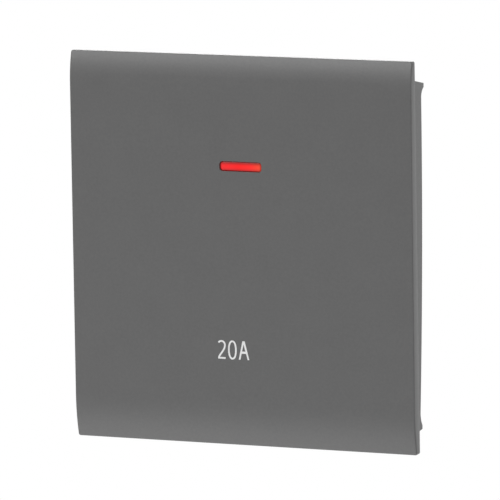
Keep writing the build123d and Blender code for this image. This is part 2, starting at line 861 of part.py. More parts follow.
def indicator_leads():
    """Insulated wires from the board, down the sides of the housing, to the outgoing contacts."""
    leads = []
    start_x = board_width / 2 - wire_edge
    start_z = board_low + wire_board_rise
    lift_y = board_back_y + wire_lift
    side_x = bay_width / 2 - wire_side_gap - wire_radius
    drop_z = screw_z - boss_radius - wire_boss_gap
    wire_y = (strip_front_y + strip_back_y) / 2
    end_z = -(load_strip_start + wire_tip_gap)
    for side in (-1, 1):
        points = [
            (side * start_x, board_back_y, start_z),
            (side * start_x, lift_y, start_z),
            (side * side_x, lift_y, drop_z),
            (side * side_x, wire_y, drop_z),
            (side * side_x, wire_y, end_z),
            (side * (pole_x + strip_width / 2), wire_y, end_z),
        ]
        path = FilletPolyline(*points, radius=wire_bend)
        section = Plane(origin=path @ 0, z_dir=path % 0) * Circle(wire_radius)
        leads.append(sweep(section, path=path))
    return leads


def write(name, shape):
    """Writes one piece, or a group of separate identical pieces, under its name."""
    if isinstance(shape, list):
        shape = Compound(children=[item if isinstance(item, Solid) else item.solid() for item in shape])
    export_step(shape, f"parts/{name}.step")


def main():
    os.makedirs("parts", exist_ok=True)
    write("rocker_cover", rocker_cover())
    write("indicator_lens", indicator_lens())
    write("rocker_carrier", rocker_carrier())
    write("surround_frame", surround_frame())
    write("mounting_yoke", mounting_yoke())
    write("mechanism_front", mechanism_front())
    write("mechanism_housing", mechanism_housing())
    write("housing_screws", housing_screws())
    write("contact_actuator", contact_actuator())
    write("drive_pin", drive_pin())
    write("load_contact_tips", load_contact_tips())
    write("terminal_screws", terminal_screws())
    write("earth_terminal", earth_terminal())
    write("earth_screw", earth_screw())
    write("indicator_board", indicator_board())
    write("indicator_led", indicator_led())
    write("light_guide", light_guide())
    write("dropper_resistor", axial_component(resistor_radius, resistor_length, resistor_drop))
    write("blocking_diode", axial_component(diode_radius, diode_length, diode_drop))
    write("indicator_leads", indicator_leads())
    for pole, side in (("line", -1), ("neutral", 1)):
        write(f"supply_contact_{pole}", supply_contact(side))
        write(f"load_contact_{pole}", load_contact(side))
        write(f"moving_contact_{pole}", moving_contact(side))
        write(f"moving_tip_{pole}", moving_tip(side))
        write(f"plunger_{pole}", plunger(side))
        write(f"plunger_spring_{pole}", plunger_spring(side))
        write(f"terminal_{pole}_in", terminal(side, 1))
        write(f"terminal_{pole}_out", terminal(side, -1))


main()
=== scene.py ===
"""Dresses a heater switch: a full-face grey rocker with a lit window, its frame and its mechanism.

Everything is in metres. X points to the viewer's right, Y into the wall and Z up.
"""
import math

import bmesh
import bpy
import numpy as np
from bpy.props import FloatProperty, FloatVectorProperty, IntProperty, PointerProperty
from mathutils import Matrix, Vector


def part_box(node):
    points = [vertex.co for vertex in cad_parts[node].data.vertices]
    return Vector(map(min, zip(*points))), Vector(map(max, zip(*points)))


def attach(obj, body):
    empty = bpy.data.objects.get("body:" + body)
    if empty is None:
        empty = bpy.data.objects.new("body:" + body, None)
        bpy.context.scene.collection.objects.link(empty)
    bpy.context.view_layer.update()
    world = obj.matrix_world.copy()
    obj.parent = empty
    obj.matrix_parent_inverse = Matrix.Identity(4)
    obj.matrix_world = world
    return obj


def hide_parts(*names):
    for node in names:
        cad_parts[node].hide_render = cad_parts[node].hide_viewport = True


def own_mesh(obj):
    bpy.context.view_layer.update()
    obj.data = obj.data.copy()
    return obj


bl_info = {
    "name": "Heater Switch",
    "version": (1, 0, 0),
    "blender": (4, 5, 0),
    "location": "View3D > Sidebar > Heater Switch",
    "description": "Builds the pieces, finishes and studio of a heater switch",
    "category": "Object",
}

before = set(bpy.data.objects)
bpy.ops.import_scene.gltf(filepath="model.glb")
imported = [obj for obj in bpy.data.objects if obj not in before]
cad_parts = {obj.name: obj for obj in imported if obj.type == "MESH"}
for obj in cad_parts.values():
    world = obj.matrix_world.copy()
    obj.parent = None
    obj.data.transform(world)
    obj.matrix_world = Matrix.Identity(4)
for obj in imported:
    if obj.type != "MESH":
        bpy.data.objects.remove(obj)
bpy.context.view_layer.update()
MM = 0.001
QUARTER = math.pi / 2
ROUND = 2 * math.pi
WELD = 1e-7     # Points nearer than this are joined.
SLIVER = 1e-8   # Edges shorter than this are dissolved.
SENSOR = 36.0   # Width of the camera's sensor in millimetres.
PICTURE = 500   # Side of the square picture in pixels.
# The grain of grey ABS is really about 0.05 mm. It is drawn at 0.6 mm, with more contrast, to show.
GREY_GRAIN = {"roughness": 0.39, "grain": 0.6 * MM, "depth": 0.012 * MM, "mottle": 0.16}
# Each panel's side in metres, its angles round and above the switch in degrees, and its distance.
PANELS = {
    "key": (0.4, -22, 28, 1.1),
    "side": (0.9, 100, 20, 1.1),
    "low": (0.3, -30, -45, 0.5),
    "overhead": (0.6, 0, 90, 1.0),
    "rear": (0.6, 205, 30, 1.1),
}


# Colour and materials

def linear(code):
    """An sRGB hex colour as linear red, green, blue and a full alpha."""
    parts = [int(code[i:i + 2], 16) / 255 for i in (1, 3, 5)]
    return tuple(c / 12.92 if c <= 0.04045 else ((c + 0.055) / 1.055) ** 2.4
                 for c in parts) + (1.0,)


def add_node(tree, kind, values=(), links=(), **settings):
    """Adds one node, sets its values and settings, and joins its inputs to the sockets given."""
    node = tree.nodes.new(kind)
    for name, value in settings.items():
        setattr(node, name, value)
    for socket, value in dict(values).items():
        node.inputs[socket].default_value = value
    for socket, source in dict(links).items():
        tree.links.new(source, node.inputs[socket])
    return node


def blank_material(name):
    """A new material with its output and shader only, and the place that its patterns read."""
    material = bpy.data.materials.new(name)
    material.use_nodes = True
    tree = material.node_tree
    tree.nodes.clear()
    shader = add_node(tree, "ShaderNodeBsdfPrincipled")
    add_node(tree, "ShaderNodeOutputMaterial", links={"Surface": shader.outputs[0]})
    spot = add_node(tree, "ShaderNodeTexCoord").outputs["Object"]
    return material, tree, shader, spot


def lead_in(tree, shader, tint, gloss, roughness, relief, depth, corner):
    """Leads a tint, a gloss between two roughnesses and a relief of a depth into the shader.

    Corner is the radius over which a sharp corner catches the light, or 0 for none.
    """
    gloss = add_node(tree, "ShaderNodeMapRange", {3: roughness[0], 4: roughness[1]},
                     {0: gloss.outputs[0]})
    bump = add_node(tree, "ShaderNodeBump", {"Strength": 1.0, "Distance": depth},
                    {"Height": relief.outputs[0]})
    if corner:
        rolled = add_node(tree, "ShaderNodeBevel", {"Radius": corner}, samples=4)
        tree.links.new(rolled.outputs[0], bump.inputs["Normal"])
    tree.links.new(tint.outputs[2], shader.inputs["Base Color"])
    tree.links.new(gloss.outputs[0], shader.inputs["Roughness"])
    tree.links.new(bump.outputs[0], shader.inputs["Normal"])


def moulded(name, colour, roughness, grain, depth, mottle=0.03, scatter=0.0, corner=0.0, ior=1.5):
    """A moulded plastic: fine grain in tint and relief, faint mottling and a slightly uneven gloss.

    Grain is the size of its specks, depth their relief and mottle the contrast of the tint.
    """
    patch, speckled, spread = 7 * MM, 0.7, 0.03
    material, tree, shader, spot = blank_material(name)
    patches = add_node(tree, "ShaderNodeTexNoise", {"Scale": 1 / patch, "Detail": 3.0},
                       {"Vector": spot})
    fine = add_node(tree, "ShaderNodeTexNoise", {"Scale": 1 / grain, "Detail": 2.0},
                    {"Vector": spot})
    speckle = add_node(tree, "ShaderNodeMix", {0: speckled},
                       {2: patches.outputs[0], 3: fine.outputs[0]}, data_type="FLOAT")
    low, high = (tuple(min(c * share, 1.0) for c in colour[:3]) + (1.0,)
                 for share in (1 - mottle, 1 + mottle))
    tint = add_node(tree, "ShaderNodeMix", {6: low, 7: high}, {0: speckle.outputs[0]},
                    data_type="RGBA")
    lead_in(tree, shader, tint, patches, (roughness - spread, roughness + spread), fine, depth,
            corner)
    shader.inputs["IOR"].default_value = ior
    shader.inputs["Subsurface Weight"].default_value = scatter
    shader.inputs["Subsurface Scale"].default_value = 1.0 * MM
    return material


def metal(name, colour, dull, roughness, width, depth, stretch=(1, 1, 1), corner=0.12 * MM):
    """A bare or plated metal: fine lines left by rolling or drawing, and a faint film in patches.

    Width is that of a line and depth its relief. Stretch is small along the axis the lines follow.
    """
    patch, spread = 5 * MM, 0.08
    material, tree, shader, spot = blank_material(name)
    lines = add_node(tree, "ShaderNodeMapping", {"Scale": stretch}, {"Vector": spot})
    streak = add_node(tree, "ShaderNodeTexNoise", {"Scale": 1 / width, "Detail": 2.0},
                      {"Vector": lines.outputs[0]})
    film = add_node(tree, "ShaderNodeTexNoise", {"Scale": 1 / patch, "Detail": 4.0},
                    {"Vector": spot})
    tint = add_node(tree, "ShaderNodeMix", {6: colour, 7: dull}, {0: film.outputs[0]},
                    data_type="RGBA")
    lead_in(tree, shader, tint, streak, (roughness - spread, roughness + spread), streak, depth,
            corner)
    shader.inputs["Metallic"].default_value = 1.0
    return material


def banded(material, node, bands):
    """Paints a small part in bands across X: each colour starts at a share of the node's extent."""
    tree = material.node_tree
    low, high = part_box(node)
    spot = add_node(tree, "ShaderNodeTexCoord").outputs["Object"]
    axes = add_node(tree, "ShaderNodeSeparateXYZ", links={"Vector": spot})
    along = add_node(tree, "ShaderNodeMapRange", {1: low[0], 2: high[0]}, {0: axes.outputs["X"]})
    ramp = add_node(tree, "ShaderNodeValToRGB", links={0: along.outputs[0]})
    ramp.color_ramp.interpolation = "CONSTANT"
    stops = ramp.color_ramp.elements
    stops.remove(stops[1])
    stops[0].position, stops[0].color = bands[0][0], linear(bands[0][1])
    for share, code in bands[1:]:
        stops.new(share).color = linear(code)
    tree.links.new(ramp.outputs[0], tree.nodes["Principled BSDF"].inputs["Base Color"])
    return material


# Surfaces

def turned(points, part):
    """Points turned to a part's rest angle, about the line along X at its pivot and height 0."""
    c, s, y = math.cos(part.tilt), math.sin(part.tilt), part.pivot
    out = points.copy()
    out[..., 1] = y + (points[..., 1] - y) * c - points[..., 2] * s
    out[..., 2] = (points[..., 1] - y) * s + points[..., 2] * c
    return out


def grid_faces(rows, columns, rows_closed, columns_closed):
    """The quads of a grid of points, each joined to the next row and the next column."""
    i = np.arange(rows if rows_closed else rows - 1)[:, None]
    j = np.arange(columns if columns_closed else columns - 1)[None, :]
    down, across = (i + 1) % rows, (j + 1) % columns
    corners = [i * columns + j, i * columns + across, down * columns + across, down * columns + j]
    return np.stack([np.broadcast_to(c, (i.size, j.size)) for c in corners], -1).reshape(-1, 4)


def end_caps(rows, columns):
    """Quads that close the first and last of a grid's rows, which are loops, from side to side."""
    j = np.arange(columns // 2 - 1)
    first = np.stack([j, columns - 1 - j, columns - 2 - j, j + 1], -1)
    last = first[:, ::-1] + (rows - 1) * columns
    return np.concatenate([first, last])


def volume(points, faces):
    """Six times the volume in closed quads: the sum of the tetrahedra from each to the origin."""
    a, b, c, d = (points[faces[:, k]] for k in range(4))
    return np.einsum("ij,ij->", a, np.cross(b, c)) + np.einsum("ij,ij->", a, np.cross(c, d))


def closed_mesh(name, grids, smooth_angle):
    """One mesh from grids of points, each with its two closed flags.

    It is welded, faces outwards and is smooth up to an angle in degrees.
    """
    points, faces, start = [], [], 0
    for grid, rows_closed, columns_closed in grids:
        rows, columns = grid.shape[:2]
        flat = grid.reshape(-1, 3)
        quads = grid_faces(rows, columns, rows_closed, columns_closed)
        if not rows_closed:
            quads = np.concatenate([quads, end_caps(rows, columns)])
        if volume(flat, quads) < 0:
            quads = quads[:, ::-1]
        points.append(flat)
        faces.append(quads + start)
        start += len(flat)
    points, faces = np.concatenate(points), np.concatenate(faces)
    mesh = bpy.data.meshes.new(name)
    mesh.from_pydata(points.tolist(), [], faces.tolist())
    work = bmesh.new()
    work.from_mesh(mesh)
    bmesh.ops.remove_doubles(work, verts=work.verts, dist=WELD)
    bmesh.ops.dissolve_degenerate(work, edges=work.edges, dist=SLIVER)
    work.to_mesh(mesh)
    work.free()
    mesh.validate()
    mesh.shade_smooth()
    mesh.set_sharp_from_angle(angle=math.radians(smooth_angle))
    return mesh


def place(name, grids, material, body, replaced=(), smooth_angle=35.0):
    """Makes a piece from grids of points. It rides on a body and may stand for CAD nodes."""
    mesh = closed_mesh(name, grids, smooth_angle)
    piece = bpy.data.objects.new(name, mesh)
    bpy.context.scene.collection.objects.link(piece)
    mesh.materials.append(material)
    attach(piece, body)
    if replaced:
        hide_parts(*replaced)
    return piece


def template(arc_points, x_stops, z_stops):
    """Where each point of any rounded rectangle lies, anticlockwise from its lower right.

    Two columns give its place between the corners' centres, from -1 to 1, and the third the angle
    of its outward normal.
    """
    arc = np.linspace(0, QUARTER, arc_points + 2)[1:-1]
    one_x, one_z, one_arc = np.ones(len(x_stops)), np.ones(len(z_stops)), np.ones(len(arc))
    parts = [
        (one_z, z_stops, 0 * one_z),
        (one_arc, one_arc, arc),
        (x_stops[::-1], one_x, QUARTER * one_x),
        (-one_arc, one_arc, arc + QUARTER),
        (-one_z, z_stops[::-1], 2 * QUARTER * one_z),
        (-one_arc, -one_arc, arc + 2 * QUARTER),
        (x_stops, -one_x, 3 * QUARTER * one_x),
        (one_arc, -one_arc, arc + 3 * QUARTER),
    ]
    return np.concatenate([np.stack(p, -1) for p in parts])


def outline(shape, half_width, half_height, radius, centre=(0.0, 0.0)):
    """The points of one rounded rectangle in X and Z, from a template."""
    x = centre[0] + shape[:, 0] * (half_width - radius) + radius * np.cos(shape[:, 2])
    z = centre[1] + shape[:, 1] * (half_height - radius) + radius * np.sin(shape[:, 2])
    return np.stack([x, z], -1)


def ring(flat, depth):
    """A ring of X and Z points with its depths, as points in space."""
    return np.stack([flat[:, 0], np.broadcast_to(depth, len(flat)), flat[:, 1]], -1)


def blend_rings(first, second, steps):
    """Flat rings between two, at each step from 0 to 1."""
    return [first + (second - first) * t for t in steps]


# Settings

class CoverSettings(bpy.types.PropertyGroup):
    width: FloatProperty(
        name="Width", description="Width of the rocker's face", default=0.086, unit="LENGTH")
    height: FloatProperty(
        name="Height", description="Height of the rocker's face", default=0.092, unit="LENGTH")
    front: FloatProperty(
        name="Front", description="Depth of the level face", default=-0.0095, unit="LENGTH")
    panel: FloatProperty(
        name="Panel", description="Thickness behind the face", default=0.0015, unit="LENGTH")
    rim_top: FloatProperty(
        name="Rim at the top", description="Depth of its upper edge", default=0.00255,
        unit="LENGTH")
    rim_bottom: FloatProperty(
        name="Rim at the bottom", description="Depth of its lower edge", default=0.0033,
        unit="LENGTH")
    side: FloatProperty(
        name="Side wall", description="Thickness of the rim at the sides", default=0.00095,
        unit="LENGTH")
    pocket: FloatProperty(
        name="Pocket", description="Half height of the pocket behind", default=0.041792,
        unit="LENGTH")
    drop: FloatProperty(
        name="Pocket drop", description="How far the pocket and skirt lie below the middle",
        default=0.000314, unit="LENGTH")
    skirt_width: FloatProperty(
        name="Skirt width", description="Half width of the inner skirt", default=0.04035,
        unit="LENGTH")
    skirt_height: FloatProperty(
        name="Skirt height", description="Half height of the inner skirt", default=0.039106,
        unit="LENGTH")
    skirt_depth: FloatProperty(
        name="Skirt depth", description="From the face to the skirt's edge", default=0.0053,
        unit="LENGTH")
    corner: FloatProperty(
        name="Corner", description="Radius of the corners", default=0.0005, unit="LENGTH")
    side_edge: FloatProperty(
        name="Side edge", description="Rounding of the long edges", default=0.0003, unit="LENGTH")
    end_edge: FloatProperty(
        name="End edge", description="Rounding of the short edges", default=0.00014, unit="LENGTH")
    top_run: FloatProperty(
        name="Top roll", description="Length of the upper roll", default=0.0073, unit="LENGTH")
    top_radius: FloatProperty(
        name="Top radius", description="Radius of the upper roll", default=0.0238, unit="LENGTH")
    bottom_run: FloatProperty(
        name="Bottom roll", description="Length of the lower roll", default=0.0103, unit="LENGTH")
    bottom_radius: FloatProperty(
        name="Bottom radius", description="Radius of the lower roll", default=0.0385,
        unit="LENGTH")
    pivot: FloatProperty(
        name="Pivot", description="Depth of the rocker's axis", default=-0.0052, unit="LENGTH")
    tilt: FloatProperty(
        name="Tilt", description="Rest angle", default=math.radians(2.2), subtype="ANGLE")
    colour: FloatVectorProperty(
        name="Colour", description="Colour of the grey mouldings", size=4, subtype="COLOR",
        default=linear("#5C5C5C"))


class WindowSettings(bpy.types.PropertyGroup):
    width: FloatProperty(
        name="Width", description="Width of the window", default=0.0106, unit="LENGTH")
    height: FloatProperty(
        name="Height", description="Height of the window", default=0.00235, unit="LENGTH")
    corner: FloatProperty(
        name="Corner", description="Radius of its corners", default=0.0008, unit="LENGTH")
    x: FloatProperty(
        name="Across", description="Middle of the window across the face", default=0.00015,
        unit="LENGTH")
    z: FloatProperty(
        name="Up", description="Middle of the window up the face", default=0.0201, unit="LENGTH")
    gap: FloatProperty(
        name="Gap", description="Gap round the lens", default=0.00015, unit="LENGTH")
    recess: FloatProperty(
        name="Recess", description="How far the lens lies back", default=0.0003, unit="LENGTH")
    glow: FloatProperty(
        name="Glow", description="Strength of the lamp's light in the lens", default=1.0, min=0.0)


class MarkSettings(bpy.types.PropertyGroup):
    left: FloatProperty(
        name="Left", description="Left end of the rating", default=-0.00617, unit="LENGTH")
    base: FloatProperty(
        name="Base", description="Height of its base line on the face", default=-0.02546,
        unit="LENGTH")
    cap: FloatProperty(
        name="Cap height", description="Height of its figures", default=0.00442, unit="LENGTH")
    stroke: FloatProperty(
        name="Stroke", description="Width of its strokes", default=0.00042, unit="LENGTH")
    film: FloatProperty(
        name="Film", description="Thickness of the ink", default=0.00002, unit="LENGTH")
    colour: FloatVectorProperty(
        name="Colour", description="Colour of the ink", size=4, subtype="COLOR",
        default=linear("#EDEDED"))


class SpringSettings(bpy.types.PropertyGroup):
    pole: FloatProperty(
        name="Pole", description="From the middle to each spring", default=0.011, unit="LENGTH")
    start: FloatProperty(
        name="Start", description="Depth of its first turn, untilted", default=0.00855,
        unit="LENGTH")
    height: FloatProperty(
        name="Height", description="Length of the coil along its line", default=0.0032,
        unit="LENGTH")
    radius: FloatProperty(
        name="Radius", description="From its line to the middle of the wire", default=0.0012,
        unit="LENGTH")
    wire: FloatProperty(
        name="Wire", description="Radius of the wire", default=0.0002, unit="LENGTH")
    turns: IntProperty(name="Turns", description="Number of turns", default=4, min=1)
    travel: FloatProperty(
        name="Travel", description="How far the plunger presses it", default=0.0006,
        unit="LENGTH")
    pivot: FloatProperty(
        name="Pivot", description="Depth of the actuator's axis", default=0.0098, unit="LENGTH")
    tilt: FloatProperty(
        name="Tilt", description="Rest angle of the actuator", default=math.radians(-11),
        subtype="ANGLE")


class StageSettings(bpy.types.PropertyGroup):
    azimuth: FloatProperty(
        name="Azimuth", description="Angle of the camera round the switch",
        default=math.radians(22.64), subtype="ANGLE")
    elevation: FloatProperty(
        name="Elevation", description="Angle of the camera above level",
        default=math.radians(6.65), subtype="ANGLE")
    distance: FloatProperty(
        name="Distance", description="From the camera to the face", default=1.4949, unit="LENGTH")
    lens: FloatProperty(
        name="Lens", description="Focal length in millimetres", default=461.5, unit="CAMERA")
    floor: FloatProperty(
        name="Floor", description="Height of the floor", default=-0.52, unit="LENGTH")
    world: FloatProperty(
        name="Ambient", description="Strength of the light from all round", default=0.34, min=0.0)
    key: FloatProperty(
        name="Key light", description="Power of the panel above the camera", default=4.14,
        min=0.0, unit="POWER")
    side: FloatProperty(
        name="Side light", description="Power of the panel on the right", default=3.33,
        min=0.0, unit="POWER")
    low: FloatProperty(
        name="Low light", description="Power of the small panel below", default=0.58,
        min=0.0, unit="POWER")
    overhead: FloatProperty(
        name="Overhead light", description="Power of the panel overhead", default=1.5,
        min=0.0, unit="POWER")
    rear: FloatProperty(
        name="Rear light", description="Power of the panel behind", default=4.0,
        min=0.0, unit="POWER")


# The rocker

def roll_depth(z, cover):
    """How far the face falls back at a height: a circle tangent to the flat at each of its ends."""
    top = np.clip(z - (cover.height / 2 - cover.top_run), 0, cover.top_run)
    bottom = np.clip(-z - (cover.height / 2 - cover.bottom_run), 0, cover.bottom_run)
    fall_top = cover.top_radius - np.sqrt(cover.top_radius ** 2 - top ** 2)
    fall_bottom = cover.bottom_radius - np.sqrt(cover.bottom_radius ** 2 - bottom ** 2)
    return fall_top + fall_bottom


def rim_depth(z, cover):
    """The depth of the cover's rear edge at a height: a line from its upper to its lower end."""
    share = 0.5 - z / cover.height
    return cover.front + cover.rim_top + (cover.rim_bottom - cover.rim_top) * share


def cover_shell(cover, window):
    """The cover as rings, from the window's edge over the face and rim and back through the pocket.

    Each ring blends the window's outline with the cover's, so ring and place in the ring are the
    two parameters.
    """
    # Points crowd near both ends of the sides, where the rolls bend, and lie wide between them.
    bend, middle = 0.26, 0.72
    ends, between = np.linspace(0, bend, 34), np.linspace(-middle, middle, 11)
    z_stops = np.concatenate([-1 + ends, between, 1 - ends[::-1]])
    shape = template(8, np.linspace(-1, 1, 25), z_stops)
    half_w, half_h = cover.width / 2, cover.height / 2
    normal = np.stack([np.cos(shape[:, 2]), np.sin(shape[:, 2])], -1)
    outer = outline(shape, half_w, half_h, cover.corner)
    edge = cover.side_edge + (cover.end_edge - cover.side_edge) * np.sin(shape[:, 2]) ** 2
    # Roundings of the window's edge, the rim's rear edge, and the pocket's mouth and corners.
    lip, soft, mouth, pocket_corner = 0.05 * MM, 0.15 * MM, 0.1 * MM, 0.3 * MM

    def window_ring(grow):
        return outline(shape, window.width / 2 + grow, window.height / 2 + grow,
                       window.corner + grow, (window.x, window.z))

    def pocket_ring(grow):
        return outline(shape, half_w - cover.side + grow, cover.pocket + grow,
                       pocket_corner + grow, (0, -cover.drop))

    rings = []
    for angle in np.linspace(0, QUARTER, 5):
        depth = cover.front + lip * (1 - math.sin(angle))
        rings.append(ring(window_ring(lip * (1 - math.cos(angle))), depth))
    inner, rim = window_ring(lip), outer - normal * edge[:, None]
    # The narrow first step keeps the lip's rounding out of the shading of the flat face, and the
    # last steps are close together for the rolls.
    narrow, close = 0.003, 0.8
    wide_steps, close_steps = np.linspace(0, close, 9)[1:], np.linspace(close, 1, 46)[1:]
    for flat in blend_rings(inner, rim, [narrow, *wide_steps, *close_steps]):
        rings.append(ring(flat, cover.front + roll_depth(flat[:, 1], cover)))
    for angle in np.linspace(0, QUARTER, 7)[1:]:
        flat = outer - normal * (edge * (1 - math.sin(angle)))[:, None]
        face = cover.front + roll_depth(flat[:, 1], cover)
        rings.append(ring(flat, face + edge * (1 - math.cos(angle))))
    for angle in np.linspace(0, QUARTER, 4):
        flat = outer - normal * soft * (1 - math.cos(angle))
        rings.append(ring(flat, rim_depth(flat[:, 1], cover) - soft * (1 - math.sin(angle))))
    for angle in np.linspace(QUARTER, 0, 4):
        flat = pocket_ring(mouth * (1 - math.cos(angle)))
        rings.append(ring(flat, rim_depth(flat[:, 1], cover) - mouth * (1 - math.sin(angle))))
    for flat in blend_rings(pocket_ring(0), window_ring(0), np.linspace(0, 1, 5)):
        rings.append(ring(flat, cover.front + cover.panel))
    return np.stack(rings)


def skirt_wall(cover):
    """A straight wall round a rectangle, its rear edges rounded: rings over its closed section."""
    shape = template(2, np.linspace(-1, 1, 3), np.linspace(-1, 1, 3))
    wall, soft, outer_corner, inner_corner = 1.0 * MM, 0.2 * MM, 0.3 * MM, 0.1 * MM
    front, back = cover.front + cover.panel, cover.front + cover.skirt_depth
    quarter = np.linspace(0, QUARTER, 4)
    edge = soft * (1 - np.cos(quarter))
    insets = np.concatenate([[0], edge, wall - edge[::-1], [wall]])
    rounds = back - soft * (1 - np.sin(quarter))
    depths = np.concatenate([[front], rounds, rounds[::-1], [front]])
    radii = np.where(insets < wall / 2, outer_corner, inner_corner)
    return np.stack([
        ring(outline(shape, cover.skirt_width - d, cover.skirt_height - d, r, (0, -cover.drop)), y)
        for d, y, r in zip(insets, depths, radii)])


def turned_profile(radii, depths, x, z, count=48):
    """A profile of radii and depths carried round a line along Y. A radius of 0 closes an end."""
    angle = np.linspace(0, ROUND, count, endpoint=False)
    px = x + radii[:, None] * np.cos(angle)
    pz = z + radii[:, None] * np.sin(angle)
    return np.stack([px, np.broadcast_to(depths[:, None], px.shape), pz], -1)


def lens_grid(cover, window):
    """The lens as rings, from a line along its middle over its crowned front to its rear flange."""
    shape = template(10, np.linspace(-1, 1, 25), np.linspace(-1, 1, 3))
    centre = (window.x, window.z)
    w, h = window.width / 2 - window.gap, window.height / 2 - window.gap
    r = window.corner - window.gap
    spine = outline(shape, w - h, 0.0, 0.0, centre)
    front, back = cover.front + window.recess, cover.front + cover.panel
    # The front's rounding and crown, and how far the flange reaches out and back.
    soft, crown, lap, thick = 0.16 * MM, 0.06 * MM, 0.9 * MM, 0.8 * MM

    def bar(inset):
        return outline(shape, w - inset, h - inset, r - inset, centre)

    steps = np.linspace(0, 1, 9)
    rings = [ring(flat, front - crown * (1 - t * t))
             for t, flat in zip(steps, blend_rings(spine, bar(soft), steps))]
    for angle in np.linspace(0, QUARTER, 6)[1:]:
        depth = front + soft * (1 - math.cos(angle))
        rings.append(ring(bar(soft * (1 - math.sin(angle))), depth))
    rings.append(ring(bar(0), back))
    flange = outline(shape, window.width / 2 + lap, window.height / 2 + lap, window.corner, centre)
    rings += [ring(flange, back), ring(flange, back + thick), ring(spine, back + thick)]
    return np.stack(rings)


class SWITCH_OT_cover(bpy.types.Operator):
    """Builds the rocker's cover: face with rolled ends, rim, inner skirt and staked pegs"""

    bl_idname = "switch.cover"
    bl_label = "Build Rocker Cover"

    def execute(self, context):
        cover, window = context.scene.switch_cover, context.scene.switch_window
        # Grey ABS, injection moulded in a finely spark-eroded tool: even, dry and slightly silky.
        grey = moulded("Grey ABS, spark-eroded finish", tuple(cover.colour), **GREY_GRAIN)
        shell = turned(cover_shell(cover, window), cover)
        place("cover_shell", [(shell, True, True)], grey, "rocker", ["rocker_cover"])
        skirt = turned(skirt_wall(cover), cover)
        place("cover_skirt", [(skirt, True, True)], grey, "rocker", ["rocker_cover"])
        # Pegs: a shank through the carrier, and over it the dome that staking leaves.
        peg_x, peg_z, shank = 26.5 * MM, 11 * MM, 1.2 * MM
        back = cover.front + cover.panel
        seat = back + 1.2 * MM
        dome = np.array([(1.9, 0), (1.75, 0.45), (1.3, 0.7), (0.7, 0.79), (0, 0.8)]) * MM
        radii = np.concatenate([[0, shank, shank], dome[:, 0]])
        depths = np.concatenate([[back, back, seat], seat + dome[:, 1]])
        pegs = [turned(turned_profile(radii, depths, x, z), cover)
                for x in (-peg_x, peg_x) for z in (-peg_z, peg_z)]
        place("cover_stakes", [(p, False, True) for p in pegs], grey, "rocker",
              ["rocker_cover"])
        return {"FINISHED"}


class SWITCH_OT_lens(bpy.types.Operator):
    """Builds the red lens that fills the window, lit from behind"""

    bl_idname = "switch.lens"
    bl_label = "Build Window Lens"

    def execute(self, context):
        cover, window = context.scene.switch_cover, context.scene.switch_window
        # Red acrylic, moulded and lit from behind: a dark glossy red filled with the lamp's light.
        material, tree, shader, spot = blank_material("Red acrylic, moulded and lit from behind")
        shader.inputs["Base Color"].default_value = linear("#5A0508")
        shader.inputs["Roughness"].default_value = 0.25
        shader.inputs["IOR"].default_value = 1.49
        shader.inputs["Specular IOR Level"].default_value = 0.35
        # The light is deep red in the middle and warmer at the right end. It lies a little low,
        # which paints the shade of the window's upper lip darker along the lens's top edge.
        middle = turned(np.array([window.x, cover.front, window.z]), cover)
        lip_shade_drop = 0.09 * MM
        half_w, half_h = window.width / 2, window.height / 2
        centred = add_node(tree, "ShaderNodeMapping",
                           {"Location": (-middle[0], 0, lip_shade_drop - middle[2])}, {"Vector": spot})
        axes = add_node(tree, "ShaderNodeSeparateXYZ", links={"Vector": centred.outputs[0]})
        along = add_node(tree, "ShaderNodeMapRange", {1: -half_w, 2: half_w},
                         {0: axes.outputs["X"]})
        ramp = add_node(tree, "ShaderNodeValToRGB", links={0: along.outputs[0]})
        stops = ramp.color_ramp.elements
        stops[0].position, stops[0].color = 0.1, linear("#EC1C20")
        stops[1].position, stops[1].color = 0.93, linear("#EA4024")
        for position, code in ((0.45, "#F00606"), (0.75, "#F4201A")):
            stops.new(position).color = linear(code)
        # Painted shade: the glow fades to nothing from clear to edge, along both axes, standing in
        # for the shade that the recess and the gap round the lens cast on its edges.
        painted_edge_shade = []
        for axis, edge, clear in (("Z", 1.2 * half_h, 0.12 * half_h),
                                  ("X", half_w + 0.3 * MM, half_w - 0.8 * MM)):
            size = add_node(tree, "ShaderNodeMath", links={0: axes.outputs[axis]},
                            operation="ABSOLUTE")
            painted_edge_shade.append(add_node(tree, "ShaderNodeMapRange", {1: edge, 2: clear},
                                  {0: size.outputs[0]}, interpolation_type="SMOOTHSTEP"))
        lit = add_node(tree, "ShaderNodeMath",
                       links={0: painted_edge_shade[0].outputs[0], 1: painted_edge_shade[1].outputs[0]},
                       operation="MULTIPLY")
        glow = add_node(tree, "ShaderNodeVectorMath",
                        links={0: ramp.outputs[0], "Scale": lit.outputs[0]}, operation="SCALE")
        tree.links.new(glow.outputs[0], shader.inputs["Emission Color"])
        shader.inputs["Emission Strength"].default_value = window.glow
        lens = turned(lens_grid(cover, window), cover)
        place("window_lens", [(lens, False, True)], material, "rocker",
              ["indicator_lens"])
        return {"FINISHED"}


def ribbon(left, right, front, back):
    """A thin solid strip between two edges in X and Z: each row of the grid is its section."""
    section = [(left, back), (left, front), (right, front), (right, back)]
    return np.stack([ring(edge, y) for edge, y in section], 1)


def smooth_path(knots, count):
    """A quadratic spline through the middles of the runs between knots, even in each arc."""
    knots = np.asarray(knots, float)
    middles = (knots[1:] + knots[:-1]) / 2
    starts = np.concatenate([knots[:1], middles[1:-1]])
    ends = np.concatenate([middles[1:-1], knots[-1:]])
    t = np.linspace(0, 1, count)[None, :, None]
    arcs = (1 - t) ** 2 * starts[:, None] + 2 * t * (1 - t) * knots[1:-1, None]
    arcs = arcs + t ** 2 * ends[:, None]
    return np.concatenate([arcs[:, :-1].reshape(-1, 2), knots[-1:]])


